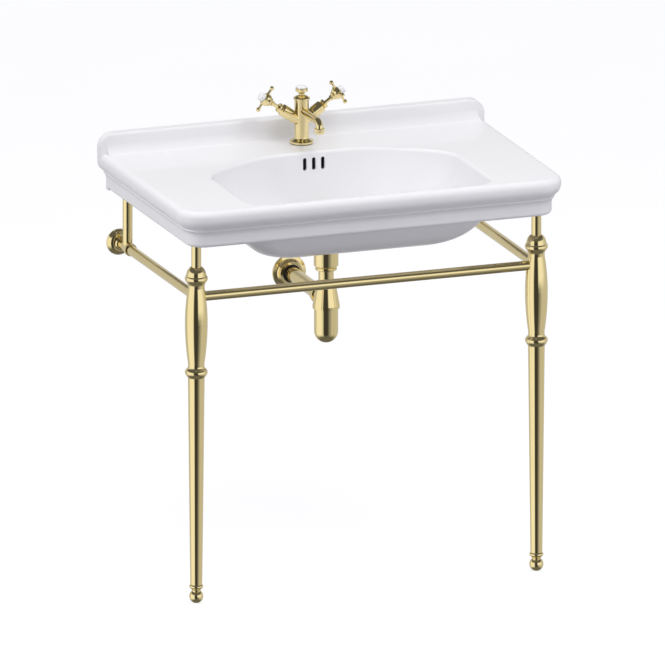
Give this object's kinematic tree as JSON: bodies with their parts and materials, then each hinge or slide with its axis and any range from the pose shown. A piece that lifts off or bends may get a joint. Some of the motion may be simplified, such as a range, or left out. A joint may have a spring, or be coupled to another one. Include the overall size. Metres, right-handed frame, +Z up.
{
  "type": "console sink with legs",
  "caption": "Rectangular ceramic console basin on a turned brass washstand with two front legs, cross-handled basin mixer, pop-up waste and bottle trap; fixed to a wall.",
  "frame": {"origin": "middle of the footprint on the floor, halfway between the wall and the front lip", "axes": "+Z up, +Y towards the wall, +X to the right of someone facing the basin"},
  "size_m": [0.85, 0.54, 0.986],
  "materials": {
    "glazed_ceramic": "gloss white glaze",
    "porcelain": "gloss white",
    "polished_brass": "polished, pale gold",
    "plain_brass": "as machined",
    "plated_steel": "zinc plated",
    "black_rubber": "matt",
    "white_nylon": "matt"
  },
  "bodies": {
    "stand": {"basin": "glazed_ceramic", "basin_bowl": "glazed_ceramic", "foot_left": "polished_brass", "foot_right": "polished_brass", "lower_leg_left": "polished_brass", "lower_leg_right": "polished_brass", "baluster_left": "polished_brass", "baluster_right": "polished_brass", "front_post_left": "polished_brass", "front_post_right": "polished_brass", "rear_post_left": "polished_brass", "rear_post_right": "polished_brass", "side_rail_left": "polished_brass", "side_rail_right": "polished_brass", "rail_tee_left": "polished_brass", "rail_tee_right": "polished_brass", "wall_rose_left": "polished_brass", "wall_rose_right": "polished_brass", "valve_bonnet_left": "polished_brass", "valve_bonnet_right": "polished_brass", "wall_bracket_left": "plated_steel", "wall_bracket_right": "plated_steel", "front_rail": "polished_brass", "tap_body": "polished_brass", "tap_top_cap": "polished_brass", "spout_nozzle": "polished_brass", "trap_inlet_nut": "polished_brass", "trap_inlet_tube": "polished_brass", "trap_head": "polished_brass", "trap_cup": "polished_brass", "trap_outlet_nut": "polished_brass", "outlet_pipe": "polished_brass", "outlet_rose": "polished_brass", "waste_body": "polished_brass", "tap_shank": "plain_brass", "tap_back_nut": "plain_brass", "waste_back_nut": "plain_brass", "pivot_nut": "plain_brass", "clamp_washer": "plated_steel", "tap_gasket": "black_rubber", "clamp_seal": "black_rubber", "waste_top_seal": "black_rubber", "waste_bottom_seal": "black_rubber", "outlet_seal": "black_rubber", "support_pads": "white_nylon"},
    "handle_left": {"spindle_left": "polished_brass", "cross_handle_left": "polished_brass", "index_cap_left": "porcelain"},
    "handle_right": {"spindle_right": "polished_brass", "cross_handle_right": "polished_brass", "index_cap_right": "porcelain"},
    "lift": {"lift_knob": "polished_brass", "knob_button": "porcelain", "lift_rod": "polished_brass", "lift_strap": "plain_brass", "clamp_screw": "plain_brass"},
    "pivot": {"pivot_rod": "plain_brass"},
    "plug": {"waste_plug": "polished_brass", "plug_seal": "black_rubber"}
  },
  "joints": [
    {"name": "handle_left_turn", "type": "hinge", "parent": "stand", "child": "handle_left", "pos_m": [-0.0811, 0.192, 0.95978], "axis": [-0.8192, 0, 0.5736], "range_deg": [0, 90]},
    {"name": "handle_right_turn", "type": "hinge", "parent": "stand", "child": "handle_right", "pos_m": [0.0811, 0.192, 0.95978], "axis": [0.8192, 0, 0.5736], "range_deg": [-90, 0]},
    {"name": "lift_slide", "type": "slide", "parent": "stand", "child": "lift", "axis": [0, 0, 1], "range_m": [0, 0.028]},
    {"name": "pivot_turn", "type": "hinge", "parent": "stand", "child": "pivot", "pos_m": [0, 0.072, 0.673], "axis": [1, 0, 0], "range_deg": [0, 14.15]},
    {"name": "plug_slide", "type": "slide", "parent": "stand", "child": "plug", "axis": [0, 0, 1], "range_m": [-0.00717, 0]}
  ],
  "couplings": [
    {"joint": "pivot_turn", "follows": "lift_slide", "rad_per_m": 8.8106},
    {"joint": "plug_slide", "follows": "lift_slide", "ratio": -0.25551}
  ]
}
